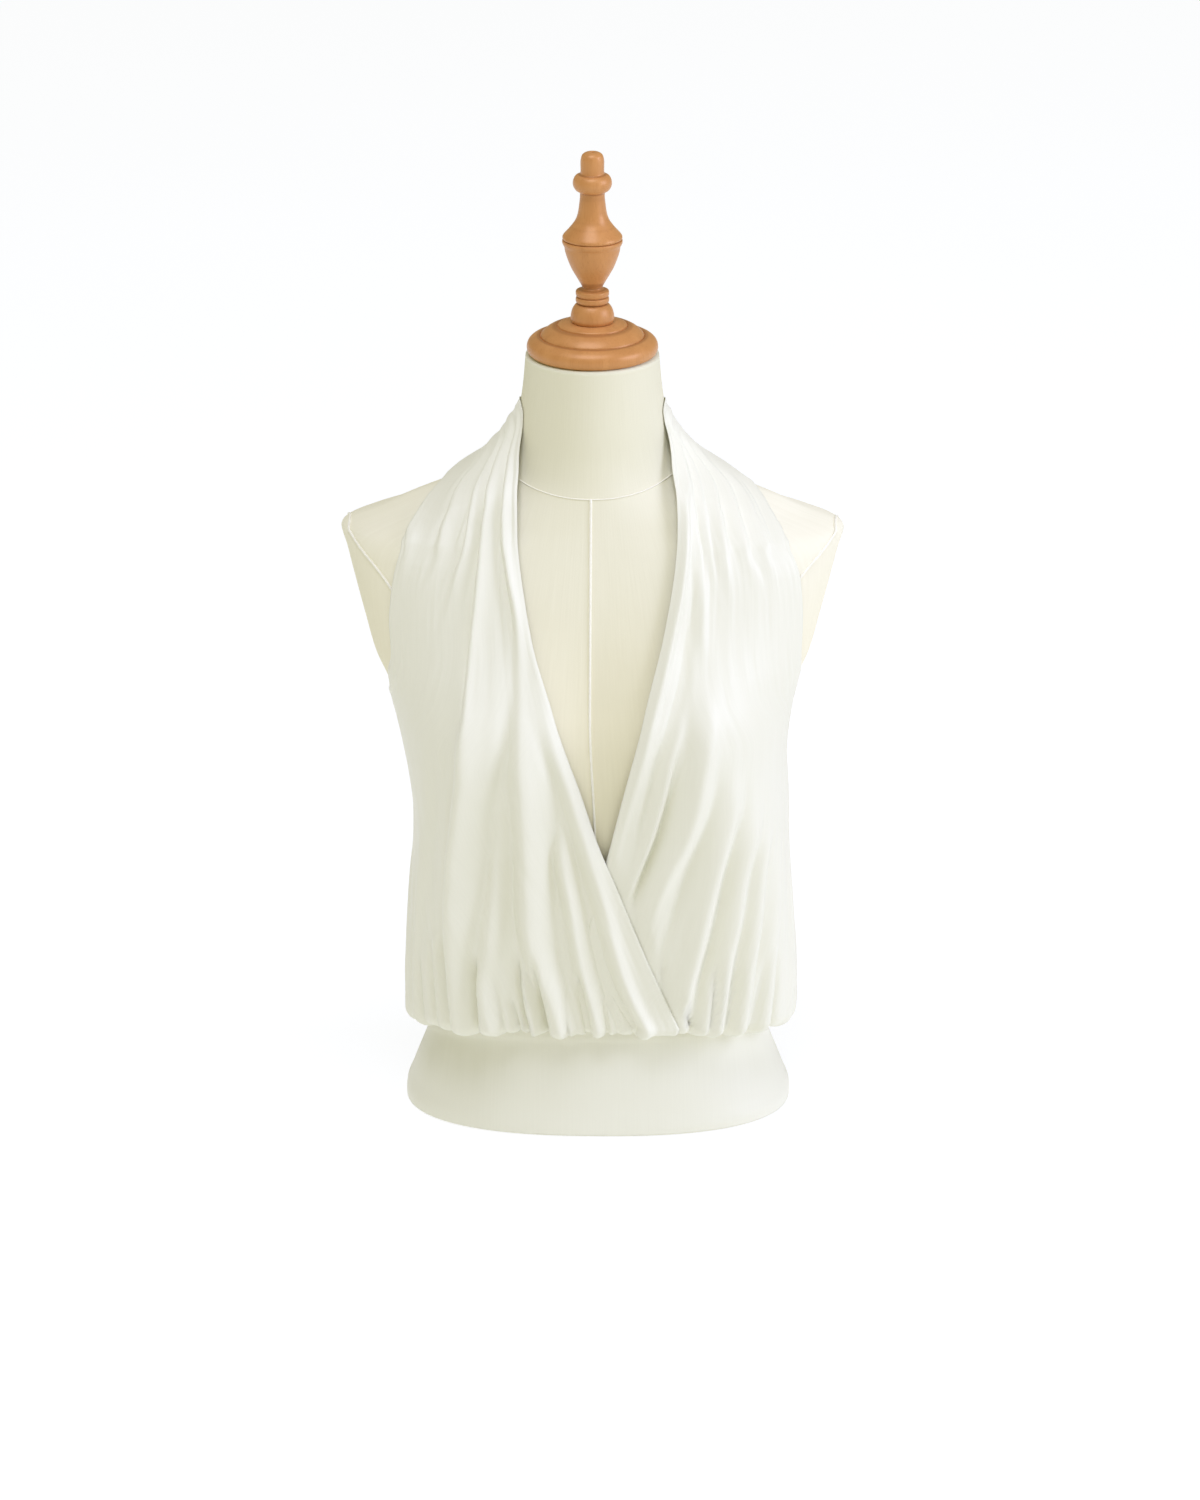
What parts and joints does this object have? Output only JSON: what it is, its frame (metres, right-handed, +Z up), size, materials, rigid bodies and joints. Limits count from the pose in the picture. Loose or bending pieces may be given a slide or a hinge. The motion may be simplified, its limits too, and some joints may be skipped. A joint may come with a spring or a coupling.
{
  "type": "halter wrap top on a limbless tabletop dress form",
  "caption": "Sleeveless halter wrap top with crossed fronts bloused into a wide waistband, worn on a limbless dress form with a turned wood neck cap and finial.",
  "frame": {"origin": "centre of the form's flat bottom, on the surface it stands on", "axes": "+Z up, the form faces -Y, +X is the wearer's left"},
  "size_m": [0.381, 0.2504, 0.7517],
  "materials": {
    "jersey": "smooth satin-faced jersey with a soft sheen",
    "form_cover": "matt fine plain-woven cover",
    "turned_wood": "satin lacquered pale hardwood"
  },
  "bodies": {
    "root": {"form_torso": "form_cover", "neck_cap": "turned_wood", "finial": "turned_wood", "front_over": "jersey", "front_under": "jersey", "back_panel": "jersey", "neck_band": "jersey", "waistband_front": "jersey", "waistband_back": "jersey"}
  },
  "joints": []
}
